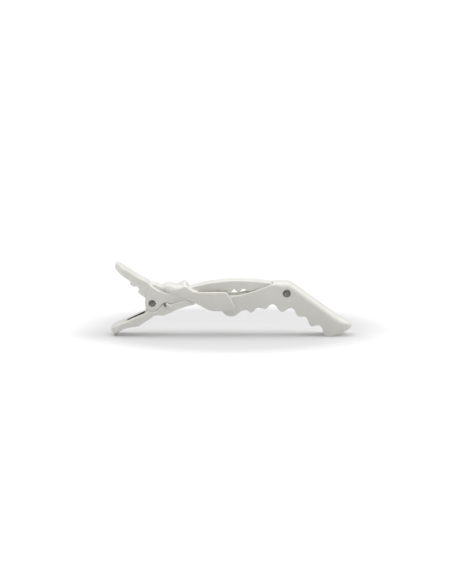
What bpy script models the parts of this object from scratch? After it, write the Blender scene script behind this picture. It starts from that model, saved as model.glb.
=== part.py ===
"""Sectioning clip: a double-hinged crocodile hair clip for salon use.

The clip lies along X with its handles at -X and its nose at +X, is symmetric about the plane Y = 0 and stands on
Z = 0. Outlines are side views in the XZ plane, in millimetres, pushed out along Y.
"""

import math

import bmesh
import bpy
from mathutils import Matrix, Vector

MM = 0.001
GAP = 0.3  # clearance between pieces that touch

# Pivots (x, z) and what turns on them
MAIN_PIVOT = (-37.9, 16.0)
FRONT_PIVOT = (26.4, 20.6)
PIN_RADIUS = 1.0
MAIN_HEAD_RADIUS = 1.45
FRONT_HEAD_RADIUS = 1.65
HEAD_THICKNESS = 0.6
HEAD_SINK = 0.55  # how far each pin head lies below the moulding's side
PIN_SIDES = 24

# Half-widths along Y, from the outside in
CHEEK_HALF = 9.2
EAR_HALF = 8.9
HANDLE_HALF = 8.2
LOWER_HALF = 8.6
SCALE_HALF = 8.6
PLATE_ROUND = 1.3  # quarter round at both sides of the first scale
SCALE_ROUND = 2.8  # quarter round at both sides of the second scale
TONGUE_HALF = 6.4
SKIRT_HALF = 8.35
BOSS_HALF = 9.1
CHEEK_INNER = 7.95
SNOUT_HALF = 7.65
EAR_INNER = 6.25
SNOUT_INNER = 6.0
LOWER_EAR_HALF = 5.95
ARM_HALF = 5.7
BAR_HALF = 5.6
HEEL_HALF = 4.0
SPRING_ROOM_HALF = 3.6
SLOT_INNER = 3.6
LEG_ROOM_HALF = 4.6

# Upper lever
EAR_RADIUS = 3.5
THUMB_SLOPE_START = (-54.6, 34.86)
THUMB_SLOPE_END = (-39.8, 25.35)  # with the start, the line that the thumb top and the spring pocket follow
THUMB_PLATE = 3.6  # thickness left above the pocket under the thumb plate
ARM_BOSS_RADIUS = 2.85

# Lower lever
LOWER_EAR_RADIUS = 3.1

# Snout
ROOF_START = (28.1, 25.8)
ROOF_SLOPE = -0.718
ROOF_THICKNESS = 2.0
ROOF_REAR_X = 19.6
ROOF_REAR_Z = 24.75
CHANNEL_FRONT_X = 48.0
ROOF_SIDE_ROUND = 3.0

# Plan-view roundings of the free ends
NOSE_X = 58.0
NOSE_PLAN_ROUND = 5.0
UPPER_TIP_X = -55.9
LOWER_TIP_X = -57.9
THUMB_TIP_PLAN_ROUND = 5.0
FINGER_TIP_PLAN_ROUND = 5.5
PLAN_OVERSIZE = 0.3

# Torsion spring
WIRE_RADIUS = 0.41
COIL_RADIUS = 2.65
COIL_TURNS = 6
COIL_PITCH = 0.95
LEG_LENGTH = 14.6
LOWER_LEG_ANGLE = 25.5  # below the -X direction
UPPER_LEG_ANGLE = 31.5  # above the -X direction


def clear_scene():
    for old in list(bpy.data.objects):
        bpy.data.objects.remove(old, do_unlink=True)


def material(name, colour, roughness, metallic=0.0):
    made = bpy.data.materials.new(name)
    made.use_nodes = True
    shader = made.node_tree.nodes["Principled BSDF"]
    shader.inputs["Base Color"].default_value = (*colour, 1.0)
    shader.inputs["Roughness"].default_value = roughness
    shader.inputs["Metallic"].default_value = metallic
    return made


def arc(centre, radius, start, end, steps):
    """Points on a circle in the side view, from start to end degrees, counted from +X towards +Z."""
    points = []
    for i in range(steps + 1):
        angle = math.radians(start + (end - start) * i / steps)
        points.append((centre[0] + radius * math.cos(angle), centre[1] + radius * math.sin(angle)))
    return points


def through(points, steps=3):
    """A smooth open curve through the points (Catmull-Rom), with steps chords between each two."""
    padded = [points[0], *points, points[-1]]
    curve = []
    for i in range(1, len(padded) - 2):
        before, here, there, after = (Vector(p) for p in padded[i - 1 : i + 3])
        for k in range(steps):
            t = k / steps
            blend = 2 * here + (there - before) * t
            blend += (2 * before - 5 * here + 4 * there - after) * t * t
            blend += (3 * here - before - 3 * there + after) * t**3
            curve.append(tuple(blend / 2))
    curve.append(points[-1])
    return curve


def prism(name, outline, y_low, y_high):
    """A solid with this side-view outline, from y_low to y_high."""
    shape = bmesh.new()
    ring = [shape.verts.new((x * MM, y_low * MM, z * MM)) for x, z in outline]
    face = shape.faces.new(ring)
    pushed = bmesh.ops.extrude_face_region(shape, geom=[face])
    moved = [v for v in pushed["geom"] if isinstance(v, bmesh.types.BMVert)]
    bmesh.ops.translate(shape, verts=moved, vec=(0, (y_high - y_low) * MM, 0))
    bmesh.ops.recalc_face_normals(shape, faces=shape.faces[:])
    return solid(name, shape)


def solid(name, shape):
    mesh = bpy.data.meshes.new(name)
    shape.to_mesh(mesh)
    shape.free()
    made = bpy.data.objects.new(name, mesh)
    bpy.context.scene.collection.objects.link(made)
    return made


def rounded_slab(name, outline, half, radius, keeps_round, steps=3):
    """A prism across the clip whose side edges are rounded where keeps_round(x, z) is true at both ends."""
    made = prism(name, outline, -half, half)
    shape = bmesh.new()
    shape.from_mesh(made.data)
    chosen = []
    for edge in shape.edges:
        a, b = (v.co / MM for v in edge.verts)
        along_side = abs(a.y - b.y) < 1e-3
        if along_side and keeps_round(a.x, a.z) and keeps_round(b.x, b.z):
            chosen.append(edge)
    bmesh.ops.bevel(
        shape, geom=chosen, offset=radius * MM, segments=steps, profile=0.5, affect="EDGES", clamp_overlap=True
    )
    shape.to_mesh(made.data)
    shape.free()
    return made


def crowned_slab(name, outline, half, radius, base, steps=4):
    """A slab across the clip; what lies above the height base falls in a quarter round to both sides."""
    top = max(z for x, z in outline)
    stations = []
    for i in range(steps + 1):
        turn = math.pi / 2 * i / steps
        stations.append((half - radius + radius * math.sin(turn), radius * (1 - math.cos(turn))))
    stations = [(-y, drop) for y, drop in reversed(stations)] + stations
    shape = bmesh.new()
    rings = []
    for y, drop in stations:
        share = 1 - drop / (top - base)
        heights = [base + (z - base) * share if z > base else z for x, z in outline]
        rings.append([shape.verts.new((x * MM, y * MM, z * MM)) for (x, _), z in zip(outline, heights)])
    for ring, after in zip(rings, rings[1:]):
        for i in range(len(ring)):
            k = (i + 1) % len(ring)
            shape.faces.new((ring[i], ring[k], after[k], after[i]))
    shape.faces.new(rings[0])
    shape.faces.new(rings[-1])
    bmesh.ops.recalc_face_normals(shape, faces=shape.faces[:])
    return solid(name, shape)


def plan_prism(name, x_low, x_high, half, low_round, high_round):
    """A tall solid with this plan view: a rectangle, just wider than the piece, with rounded corners."""
    half += PLAN_OVERSIZE
    corners = []
    for x, sign, radius in ((x_high, 1, high_round), (x_low, -1, low_round)):
        for side in (-sign, sign):
            centre = (x - sign * radius, side * (half - radius))
            first = {(1, -1): -90, (1, 1): 0, (-1, 1): 90, (-1, -1): 180}[(sign, side)]
            corners += arc(centre, radius, first, first + 90, 6) if radius else [(x, side * half)]
    shape = bmesh.new()
    face = shape.faces.new([shape.verts.new((x * MM, y * MM, -5 * MM)) for x, y in corners])
    pushed = bmesh.ops.extrude_face_region(shape, geom=[face])
    moved = [v for v in pushed["geom"] if isinstance(v, bmesh.types.BMVert)]
    bmesh.ops.translate(shape, verts=moved, vec=(0, 0, 50 * MM))
    bmesh.ops.recalc_face_normals(shape, faces=shape.faces[:])
    return solid(name, shape)


def rod(name, centre, radius, y_low, y_high, sides=PIN_SIDES):
    return prism(name, arc(centre, radius, 0, 360 * (sides - 1) / sides, sides - 1), y_low, y_high)


def combine(base, operation, *operands):
    """Adds each operand to the base object, cuts it away or keeps only what lies inside it."""
    for operand in operands:
        operand.hide_render = True
        operand.display_type = "WIRE"
        cut = base.modifiers.new(operand.name, "BOOLEAN")
        cut.operation = operation
        cut.solver = "EXACT"
        cut.object = operand


def both_sides(name, outline, inner, outer):
    """The same side-view outline as two plates, one on each side of the middle plane."""
    return [prism(name + "_near", outline, -outer, -inner), prism(name + "_far", outline, inner, outer)]


def finish(made, finish_material, pivot=None):
    made.data.materials.append(finish_material)
    if pivot:
        place = Vector((pivot[0] * MM, 0, pivot[1] * MM))
        made.data.transform(Matrix.Translation(-place))
        made.location = place
    return made


def thumb_outline():
    """Thumb handle in side view: a straight sloping top, a blunt tip and two stepped ribs below."""
    ribs = [(-40.8, 17.4), (-41.5, 18.9), (-43.7, 20.4), (-44.7, 21.5), (-44.2, 23.2), (-45.4, 24.3)]
    ribs += [(-46.6, 23.9), (-48.5, 25.0), (-48.5, 26.7), (-52.3, 29.1), (-55.2, 31.9)]
    end = [(-55.9, 32.8), (-55.9, 34.0), (-55.4, 34.7)]
    bulge = [(-44.6, 28.43), (-41.6, 26.95), (-40.2, 26.1), (-38.6, 24.75)]
    return [THUMB_SLOPE_START, *bulge, (-36.5, 22.6), (-36.5, 17.4), *ribs, *end]


def ear_outline():
    """Outer ear: round below the main pivot, with a rim that dips towards the saddle."""
    rim = through([(-39.1, 25.1), (-37.9, 24.2), (-35.0, 22.35), (-32.2, 21.3), (-29.0, 20.7)])
    saddle_side = [(-26.0, 21.2), (-23.0, 20.6), (-23.0, 19.6)]
    foot = through([(-24.7, 19.3), (-27.1, 17.9), (-29.2, 16.6), (-31.3, 16.55), (-32.6, 16.35)])
    return [*rim, *saddle_side, *foot, *arc(MAIN_PIVOT, EAR_RADIUS, -40, -180, 10), (-41.1, 18.4)]


def saddle_outline():
    """Saddle plate: level top that falls to the cheek in front."""
    top = [(-31.6, 22.8), (-31.2, 23.2), (-30.4, 23.4), (-26.5, 23.3), (-24.0, 23.9), (-22.6, 24.5)]
    top.append((-21.7, 24.3))
    front = through([(-20.9, 23.8), (-20.0, 23.1), (-18.9, 22.4), (-17.6, 21.95), (-16.1, 21.75)])
    return [*top, *front, (-16.6, 20.4), (-19.5, 19.2), (-25.0, 19.5), (-28.3, 20.7)]


def first_scale_outline():
    crest = through([(-33.6, 23.3), (-33.0, 24.0), (-32.0, 24.8), (-30.8, 25.1), (-29.5, 24.9), (-27.5, 24.4)])
    return [*crest, (-23.5, 24.3), (-22.2, 24.1), (-21.3, 23.4), (-21.3, 19.8), (-30.2, 20.8)]


def second_scale_outline():
    crest = through([(-26.8, 23.2), (-26.2, 24.2), (-24.6, 25.0), (-22.7, 26.0), (-21.6, 25.7), (-20.7, 24.1)])
    return [*crest, (-19.9, 22.4), (-20.5, 20.2), (-26.8, 20.2)]


def tongue_outline():
    """The raised middle between the ears that joins thumb plate and saddle."""
    top = through([(-39.4, 24.9), (-37.7, 25.1), (-36.3, 24.9), (-34.6, 24.2), (-33.0, 23.4), (-31.9, 22.6)])
    top += [(-30.9, 21.7), (-29.6, 20.9), (-26.5, 21.0)]
    return [*top, (-26.5, 19.4), (-29.0, 18.7), (-31.5, 18.5), (-34.0, 19.1), (-36.6, 20.4), (-39.4, 21.8)]


def skirt_outline():
    """The recessed strip below the ear foot and the cheek, just above the lower lever."""
    under = through([(-16.9, 16.3), (-18.6, 16.55), (-20.7, 17.5), (-24.0, 17.5), (-26.4, 16.7), (-28.4, 15.9)])
    return [*under, (-29.6, 16.3), (-30.6, 17.2), (-31.0, 18.5), (-24.0, 20.0), (-16.9, 19.0)]


def cheek_outline():
    """Side cheek: straight top edge, round front end and a rising lower edge."""
    top = through([(-25.0, 20.6), (-22.0, 22.0), (-19.6, 22.5), (-17.6, 21.9), (-14.9, 21.6)])
    top += [(-9.4, 21.6), (-3.6, 21.7), (-2.4, 21.4)]
    front = through([(-1.5, 20.3), (-0.3, 18.6), (0.7, 16.5), (1.6, 14.8), (1.5, 13.6), (0.4, 12.8)])
    front += [(-1.2, 12.45), (-3.7, 12.3)]
    under = through([(-8.6, 12.3), (-11.0, 13.0), (-14.9, 14.9), (-19.5, 17.2), (-23.1, 19.0), (-25.0, 19.4)])
    return [*top, *front, *under]


def arm_outline():
    """Arched arm: a smooth top, teeth below and a round boss on the front pivot."""
    top = through([(-24.0, 20.2), (-21.0, 22.7), (-17.8, 24.05), (-10.1, 25.7), (-0.5, 26.7), (4.3, 26.8)])
    top += through([(11.5, 26.55), (18.2, 25.7)])
    boss = arc(FRONT_PIVOT, ARM_BOSS_RADIUS, 100, -130, 16)
    toothed = through([(13.4, 21.2), (11.6, 22.2), (8.8, 21.3), (5.8, 22.7), (3.4, 21.2), (1.4, 22.7)])
    toothed += through([(-0.6, 20.8), (-2.1, 22.3), (-4.4, 20.9), (-6.4, 21.9), (-8.6, 20.5), (-10.6, 21.3)])
    toothed.append((-12.8, 20.2))
    step = [(19.2, 25.3), (19.3, 24.55), (21.6, 23.1)]
    return [*top, *step, *boss, (22.0, 19.0), (17.5, 20.4), *toothed, (-17.0, 20.2)]


def upper_lever(plastic):
    lever = prism("upper_lever", saddle_outline(), -CHEEK_HALF, CHEEK_HALF)
    thumb = prism("thumb_plate", thumb_outline(), -HANDLE_HALF, HANDLE_HALF)
    tip = plan_prism("thumb_tip_plan", UPPER_TIP_X, -30, HANDLE_HALF, THUMB_TIP_PLAN_ROUND, 0)
    combine(thumb, "INTERSECT", tip)
    arm = prism("arched_arm", arm_outline(), -ARM_HALF, ARM_HALF)
    tongue = prism("tongue", tongue_outline(), -TONGUE_HALF, TONGUE_HALF)
    scales = [crowned_slab("first_scale", first_scale_outline(), SCALE_HALF, PLATE_ROUND, 20.0)]
    scales.append(crowned_slab("second_scale", second_scale_outline(), SCALE_HALF, SCALE_ROUND, 20.0))
    ears = both_sides("outer_ear", ear_outline(), EAR_INNER, EAR_HALF)
    skirts = both_sides("skirt", skirt_outline(), EAR_INNER, SKIRT_HALF)
    cheeks = both_sides("cheek", cheek_outline(), CHEEK_INNER, CHEEK_HALF)
    combine(lever, "UNION", thumb, tongue, *scales, arm, *ears, *skirts, *cheeks)
    combine(lever, "DIFFERENCE", *upper_lever_cutters())
    return finish(lever, plastic, MAIN_PIVOT)


def upper_lever_cutters():
    """Room for the lower ears and the coil, the pocket for the spring's upper leg and the pin holes."""
    hub_room = rod("hub_room", MAIN_PIVOT, LOWER_EAR_RADIUS + 0.9, -EAR_INNER, EAR_INNER, 32)
    drop = (THUMB_SLOPE_END[1] - THUMB_SLOPE_START[1]) / (THUMB_SLOPE_END[0] - THUMB_SLOPE_START[0])
    below = THUMB_PLATE * math.hypot(1, drop)
    ends = [(x, THUMB_SLOPE_START[1] + drop * (x - THUMB_SLOPE_START[0]) - below) for x in (-50.0, -37.0)]
    pocket = prism("leg_pocket", [*ends, (-37.0, 14.0), (-50.0, 14.0)], -LEG_ROOM_HALF, LEG_ROOM_HALF)
    holes = pin_holes("main", MAIN_PIVOT, MAIN_HEAD_RADIUS, EAR_HALF)
    front_hole = rod("arm_hole", FRONT_PIVOT, PIN_RADIUS + GAP, -20, 20)
    return [hub_room, pocket, *holes, front_hole]


def pin_holes(name, pivot, head_radius, half):
    """A through hole and, on each side, a counterbore that sinks the pin's head."""
    floor = half - HEAD_SINK - HEAD_THICKNESS - GAP / 2
    made = [rod(name + "_hole", pivot, PIN_RADIUS + GAP, -20, 20)]
    for side, low, high in (("near", -half - 1, -floor), ("far", floor, half + 1)):
        made.append(rod(f"{name}_counterbore_{side}", pivot, head_radius + GAP, low, high))
    return made


def lower_outline():
    """Finger handle and hinge shoulder of the lower lever in side view."""
    under = [(-57.9, 3.0), (-57.1, 2.0), (-55.8, 1.6), (-54.4, 2.1), (-52.8, 2.9)]
    under += through([(-51.0, 3.8), (-49.4, 4.3), (-44.8, 5.0), (-42.4, 6.4), (-37.0, 9.9), (-35.4, 10.3)])
    under += through([(-32.4, 10.2), (-29.6, 11.4), (-25.4, 13.3), (-21.6, 14.6), (-17.6, 15.4)])
    top = through([(-18.5, 16.1), (-19.6, 16.6), (-21.2, 17.2), (-24.0, 17.1), (-26.5, 16.3), (-28.5, 15.5)], 2)
    bump = [(-29.6, 15.6), (-31.0, 16.2), (-32.2, 15.95), (-32.9, 15.4)]
    seat = arc(MAIN_PIVOT, EAR_RADIUS + GAP + 0.1, -52, -118, 6)
    handle = [(-40.7, 11.3), (-45.4, 9.3), (-50.6, 7.0), (-53.5, 6.0), (-55.9, 4.9), (-57.3, 4.0)]
    return [*under, *top, *bump, *seat, *handle]


def bar_outline():
    """Jaw bar: level teeth under the arm, a dip under the front boss and a second row up in the snout."""
    under = through([(-34.0, 12.0), (-26.0, 14.0), (-17.6, 15.7), (-6.0, 15.7), (12.0, 15.7), (19.3, 16.0)])
    under += through([(26.4, 14.5), (29.5, 13.9), (34.0, 10.6), (38.0, 7.4), (43.2, 5.6)])
    nose = [(43.6, 7.2), (42.6, 9.2)]
    front = [(41.4, 10.0), (39.6, 11.9), (37.8, 12.7), (36.0, 14.4), (34.2, 15.2), (32.4, 16.6), (30.6, 16.9)]
    dip = through([(28.9, 17.1), (26.4, 16.9), (22.8, 17.1), (19.6, 18.2), (16.7, 19.0)])
    waves = through([(14.4, 18.8), (12.0, 19.4), (9.2, 19.2), (6.6, 19.5), (3.6, 19.5), (0.6, 19.8), (-3.2, 19.5)])
    root = through([(-8.0, 19.4), (-16.0, 18.7), (-24.0, 18.7), (-27.4, 17.6), (-30.0, 15.4)])
    return [*under, *nose, *front, *dip, *waves, *root]


def slot_outline():
    """A narrow blind slot behind the ear's seat."""
    return [(-33.4, 16.9), (-31.9, 13.7), (-30.6, 14.2), (-31.9, 17.2)]


def boss_outline():
    """A low boss on the side of the lower lever, just in front of the slot."""
    top = [(-32.0, 16.0), (-31.0, 16.2), (-29.7, 15.7), (-28.6, 15.1)]
    return [*top, (-29.2, 14.3), (-30.6, 13.9), (-31.2, 14.6)]


def heel_outline():
    """The small foot under the finger handle's tip that the clip stands on."""
    return [(-56.9, 2.2), (-56.2, 0.0), (-54.9, 0.0), (-53.2, 3.0), (-55.0, 3.2)]


def hub_outline():
    """Inner ear: round at the pivot and widening down into the handle."""
    return [*arc(MAIN_PIVOT, LOWER_EAR_RADIUS, 190, -10, 16), (-34.2, 12.0), (-36.0, 10.8), (-41.4, 10.8)]


def lower_lever(plastic):
    lever = prism("lower_lever", lower_outline(), -LOWER_HALF, LOWER_HALF)
    plan = plan_prism("finger_tip_plan", LOWER_TIP_X, 0, LOWER_HALF, FINGER_TIP_PLAN_ROUND, 0)
    combine(lever, "INTERSECT", plan)
    heel = prism("heel", heel_outline(), -HEEL_HALF, HEEL_HALF)
    boss = prism("side_boss", boss_outline(), -BOSS_HALF, BOSS_HALF)
    bar = prism("jaw_bar", bar_outline(), -BAR_HALF, BAR_HALF)
    hubs = both_sides("inner_ear", hub_outline(), SPRING_ROOM_HALF, LOWER_EAR_HALF)
    combine(lever, "UNION", heel, boss, bar, *hubs)
    combine(lever, "DIFFERENCE", *lower_lever_cutters())
    return finish(lever, plastic)


def lower_lever_cutters():
    """Room for the coil, the blind slots, the grooves for the spring's lower leg and the pin hole."""
    room = COIL_RADIUS + WIRE_RADIUS + GAP
    coil_room = rod("coil_room", MAIN_PIVOT, room, -SPRING_ROOM_HALF, SPRING_ROOM_HALF, 32)
    slots = both_sides("slot", slot_outline(), SLOT_INNER, LOWER_HALF + 2)
    line = leg_line(LOWER_LEG_ANGLE, -1)
    drop = WIRE_RADIUS + GAP
    floor = [(x, z - drop) for x, z in (line(-2.0), line(LEG_LENGTH + 0.9))]
    outline = [*floor, (floor[1][0], 14.0), (floor[0][0], 14.0)]
    middle = coil_half_length()
    grooves = both_sides("leg_groove", outline, middle - drop, middle + drop)
    hole = rod("lower_hole", MAIN_PIVOT, PIN_RADIUS + GAP, -20, 20)
    return [coil_room, *slots, *grooves, hole]


def leg_line(angle, side):
    """The straight line of a spring leg, tangent to the coil, as a function of the distance from the coil."""
    turn = math.radians(angle)
    along = Vector((-math.cos(turn), side * math.sin(turn)))
    out = Vector((math.sin(turn), side * math.cos(turn)))
    start = Vector(MAIN_PIVOT) + COIL_RADIUS * out

    def at(distance):
        return tuple(start + along * distance)

    return at


def snout_outline():
    """Snout wall: irregular teeth below, a swept rear top edge and a straight sloping roof."""
    rear = [(-4.6, 12.4), (-3.5, 10.9), (-1.7, 9.9), (0.3, 9.6), (2.1, 10.2), (3.6, 11.4), (5.4, 12.5)]
    rear.append((6.7, 12.8))
    rear += [(7.8, 12.5), (8.7, 11.7), (9.8, 11.5), (10.7, 12.2), (11.6, 13.4), (12.7, 13.9), (14.1, 13.7)]
    middle = [(15.6, 13.3), (16.8, 13.5), (17.8, 14.6), (18.7, 15.3), (19.8, 15.5), (20.9, 15.0), (22.2, 13.4)]
    middle += [(23.1, 12.3), (24.1, 11.9), (25.4, 12.2), (26.9, 13.2), (28.3, 13.7), (29.5, 13.3), (30.3, 12.4)]
    front = [(30.9, 11.1), (31.7, 9.8), (32.7, 9.5), (34.9, 9.6), (35.8, 9.1), (36.5, 8.0), (37.3, 5.8)]
    front += [(38.2, 5.0), (39.3, 4.9), (40.5, 5.3), (41.6, 5.4), (42.7, 4.9), (43.4, 3.9), (43.9, 1.8)]
    under = [*rear, *middle, *front, (44.3, 0.5), (45.0, 0.0), (47.6, 0.0)]
    nose = [(49.8, 0.6), (52.9, 1.8), (55.5, 3.0), (57.6, 4.3), (58.0, 4.9), (57.8, 5.4)]
    roof_end = ROOF_START[1] + ROOF_SLOPE * (50.5 - ROOF_START[0])
    roof = [(50.5, roof_end), (30.6, 24.0), (28.6, 25.3), (27.4, 25.8), (21.8, 25.8)]
    top = through([(19.7, 25.35), (14.9, 23.3), (9.1, 21.3), (4.3, 20.05), (-0.2, 19.35), (-3.2, 17.0)])
    return [*under, *nose, *roof, *top]


def snout_jaw(plastic):
    def on_roof(x, z):
        return x > 20.5 and z > 5.3 and z > ROOF_START[1] + ROOF_SLOPE * (x - ROOF_START[0]) - 2.0

    snout = rounded_slab("snout_jaw", snout_outline(), SNOUT_HALF, ROOF_SIDE_ROUND, on_roof)
    plan = plan_prism("nose_plan", -10, NOSE_X, SNOUT_HALF, 0, NOSE_PLAN_ROUND)
    combine(snout, "INTERSECT", plan)
    inner_drop = ROOF_THICKNESS * math.hypot(1, ROOF_SLOPE)
    ceiling_level = ROOF_START[1] - ROOF_THICKNESS - 0.2
    slope_start_x = ROOF_START[0] + (ROOF_START[1] - inner_drop - ceiling_level) / -ROOF_SLOPE
    front_z = ROOF_START[1] - inner_drop + ROOF_SLOPE * (CHANNEL_FRONT_X - ROOF_START[0])
    ceiling = [(CHANNEL_FRONT_X, front_z), (slope_start_x, ceiling_level), (22.2, ceiling_level)]
    rear = [(ROOF_REAR_X, ROOF_REAR_Z), (ROOF_REAR_X, 40.0)]
    outline = [(-9.0, -3.0), (CHANNEL_FRONT_X, -3.0), *ceiling, *rear, (-9.0, 40.0)]
    channel = prism("snout_channel", outline, -SNOUT_INNER, SNOUT_INNER)
    combine(snout, "DIFFERENCE", channel, *pin_holes("front", FRONT_PIVOT, FRONT_HEAD_RADIUS, SNOUT_HALF))
    return finish(snout, plastic, FRONT_PIVOT)


def pivot_pin(name, pivot, head_radius, half, steel):
    """A steel rivet across the clip: a shaft with a flat head sunk into each side."""
    outer = half - HEAD_SINK
    neck = outer - HEAD_THICKNESS
    profile = [(-outer, 0), (-outer, head_radius - 0.2), (-outer + 0.2, head_radius), (-neck, head_radius)]
    profile += [(-neck, PIN_RADIUS), (neck, PIN_RADIUS), (neck, head_radius)]
    profile += [(outer - 0.2, head_radius), (outer, head_radius - 0.2), (outer, 0)]
    shape = bmesh.new()
    points = [shape.verts.new((radius * MM, y * MM, 0)) for y, radius in profile]
    edges = [shape.edges.new(pair) for pair in zip(points, points[1:])]
    bmesh.ops.spin(
        shape, geom=[*points, *edges], cent=(0, 0, 0), axis=(0, 1, 0), angle=math.tau, steps=PIN_SIDES, use_merge=True
    )
    bmesh.ops.remove_doubles(shape, verts=shape.verts[:], dist=1e-6)
    bmesh.ops.recalc_face_normals(shape, faces=shape.faces[:])
    pin = solid(name, shape)
    pin.location = (pivot[0] * MM, 0, pivot[1] * MM)
    pin.data.materials.append(steel)
    return pin


def coil_turn():
    """Where the coil starts and how far it turns, in degrees."""
    lower, upper = leg_line(LOWER_LEG_ANGLE, -1), leg_line(UPPER_LEG_ANGLE, 1)
    start = math.degrees(math.atan2(*reversed(Vector(lower(0)) - Vector(MAIN_PIVOT))))
    end = math.degrees(math.atan2(*reversed(Vector(upper(0)) - Vector(MAIN_PIVOT))))
    return start, end - start + 360 * (COIL_TURNS - 1)


def coil_half_length():
    return coil_turn()[1] / 360 * COIL_PITCH / 2


def torsion_spring(steel):
    """Wire that comes in along the finger handle, winds round the main pin and leaves under the thumb plate."""
    lower, upper = leg_line(LOWER_LEG_ANGLE, -1), leg_line(UPPER_LEG_ANGLE, 1)
    start, total = coil_turn()
    half = coil_half_length()
    points = [(*lower(LEG_LENGTH), -half), (*lower(LEG_LENGTH / 2), -half)]
    steps = int(total / 15)
    for i in range(steps + 1):
        angle = math.radians(start + total * i / steps)
        x = MAIN_PIVOT[0] + COIL_RADIUS * math.cos(angle)
        z = MAIN_PIVOT[1] + COIL_RADIUS * math.sin(angle)
        points.append((x, z, -half + 2 * half * i / steps))
    points += [(*upper(LEG_LENGTH / 2), half), (*upper(LEG_LENGTH), half)]
    curve = bpy.data.curves.new("torsion_spring", "CURVE")
    curve.dimensions = "3D"
    curve.bevel_depth = WIRE_RADIUS * MM
    curve.bevel_resolution = 2
    curve.use_fill_caps = True
    wire = curve.splines.new("POLY")
    wire.points.add(len(points) - 1)
    for point, (x, z, y) in zip(wire.points, points):
        point.co = (x * MM, y * MM, z * MM, 1)
    curve.materials.append(steel)
    spring = bpy.data.objects.new("torsion_spring", curve)
    bpy.context.scene.collection.objects.link(spring)
    return spring


def build():
    clear_scene()
    plastic = material("white_plastic", (0.80, 0.80, 0.76), 0.45)
    steel = material("dark_steel", (0.10, 0.10, 0.10), 0.40, 0.9)
    upper_lever(plastic)
    lower_lever(plastic)
    snout_jaw(plastic)
    pivot_pin("main_pivot_pin", MAIN_PIVOT, MAIN_HEAD_RADIUS, EAR_HALF, steel)
    pivot_pin("front_pivot_pin", FRONT_PIVOT, FRONT_HEAD_RADIUS, SNOUT_HALF, steel)
    torsion_spring(steel)


build()
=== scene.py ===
"""Looks of the sectioning clip: three mouldings, two rivets and a torsion spring on a pale studio floor.

The mouldings are made as distance fields on a grid, so that every edge gets the small round of a real mould,
and then turned into meshes. Outlines are side views (x, z) in millimetres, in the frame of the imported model.
"""

import math

import bmesh
import bpy
import numpy as np
import openvdb
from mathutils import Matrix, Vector

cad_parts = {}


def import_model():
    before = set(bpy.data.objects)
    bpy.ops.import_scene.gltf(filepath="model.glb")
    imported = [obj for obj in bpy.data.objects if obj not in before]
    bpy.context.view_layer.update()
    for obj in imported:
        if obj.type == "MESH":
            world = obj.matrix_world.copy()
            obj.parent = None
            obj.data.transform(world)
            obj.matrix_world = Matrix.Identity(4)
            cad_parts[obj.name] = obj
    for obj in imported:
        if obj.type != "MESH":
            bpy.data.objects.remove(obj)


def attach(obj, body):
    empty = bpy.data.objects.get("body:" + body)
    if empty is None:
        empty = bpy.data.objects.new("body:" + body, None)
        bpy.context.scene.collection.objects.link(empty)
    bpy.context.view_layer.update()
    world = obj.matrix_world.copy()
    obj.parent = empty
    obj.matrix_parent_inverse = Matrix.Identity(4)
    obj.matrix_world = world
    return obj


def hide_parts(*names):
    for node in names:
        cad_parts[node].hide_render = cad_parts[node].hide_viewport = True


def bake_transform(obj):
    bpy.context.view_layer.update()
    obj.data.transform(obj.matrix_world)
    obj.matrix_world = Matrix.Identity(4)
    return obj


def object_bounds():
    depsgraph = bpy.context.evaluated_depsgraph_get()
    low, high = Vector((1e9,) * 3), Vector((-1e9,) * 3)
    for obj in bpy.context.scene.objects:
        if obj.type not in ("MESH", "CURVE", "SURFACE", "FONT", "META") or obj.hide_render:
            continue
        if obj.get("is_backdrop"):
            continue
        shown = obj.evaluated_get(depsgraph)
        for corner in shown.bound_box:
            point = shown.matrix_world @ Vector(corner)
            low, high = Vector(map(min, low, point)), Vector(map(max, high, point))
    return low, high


MM = 0.001
STEP = 0.16  # spacing of the field's grid
BAND = 3 * STEP  # distances beyond this are cut off before meshing
ADAPTIVITY = 0.02  # how far flat areas may be merged into larger faces

# Pivots and pins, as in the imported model
MAIN_PIVOT = (-37.9, 16.0)
FRONT_PIVOT = (26.4, 20.6)
PIN_RADIUS = 1.0
MAIN_HEAD_RADIUS = 1.45
FRONT_HEAD_RADIUS = 1.65
HEAD_THICKNESS = 0.6
HEAD_SINK = 0.55
GAP = 0.3

# Half-widths along Y
CHEEK_HALF = 9.2
EAR_HALF = 8.9
HANDLE_HALF = 8.2
LOWER_HALF = 8.6
SCALE_HALF = 8.6
TONGUE_HALF = 6.4
SKIRT_HALF = 8.35
BOSS_HALF = 9.1
CHEEK_INNER = 7.95
SNOUT_HALF = 7.65
EAR_INNER = 6.25
SNOUT_INNER = 6.0
LOWER_EAR_HALF = 5.95
ARM_HALF = 5.7
BAR_HALF = 5.6
HEEL_HALF = 4.0
SPRING_ROOM_HALF = 3.6
SLOT_INNER = 3.6
LEG_ROOM_HALF = 4.6

# Edge rounds
EDGE = 0.4
SOFT_EDGE = 0.7
TIP_EDGE = 1.3
SCALE_EDGE = 2.8
PLATE_EDGE = 1.3
ARM_TOP_EDGE = 0.6
FINE_EDGE = 0.25
SEAM = 0.15  # blend where one part of a moulding stands proud of the next
FILLET = 0.6  # blend in inner corners

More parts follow.
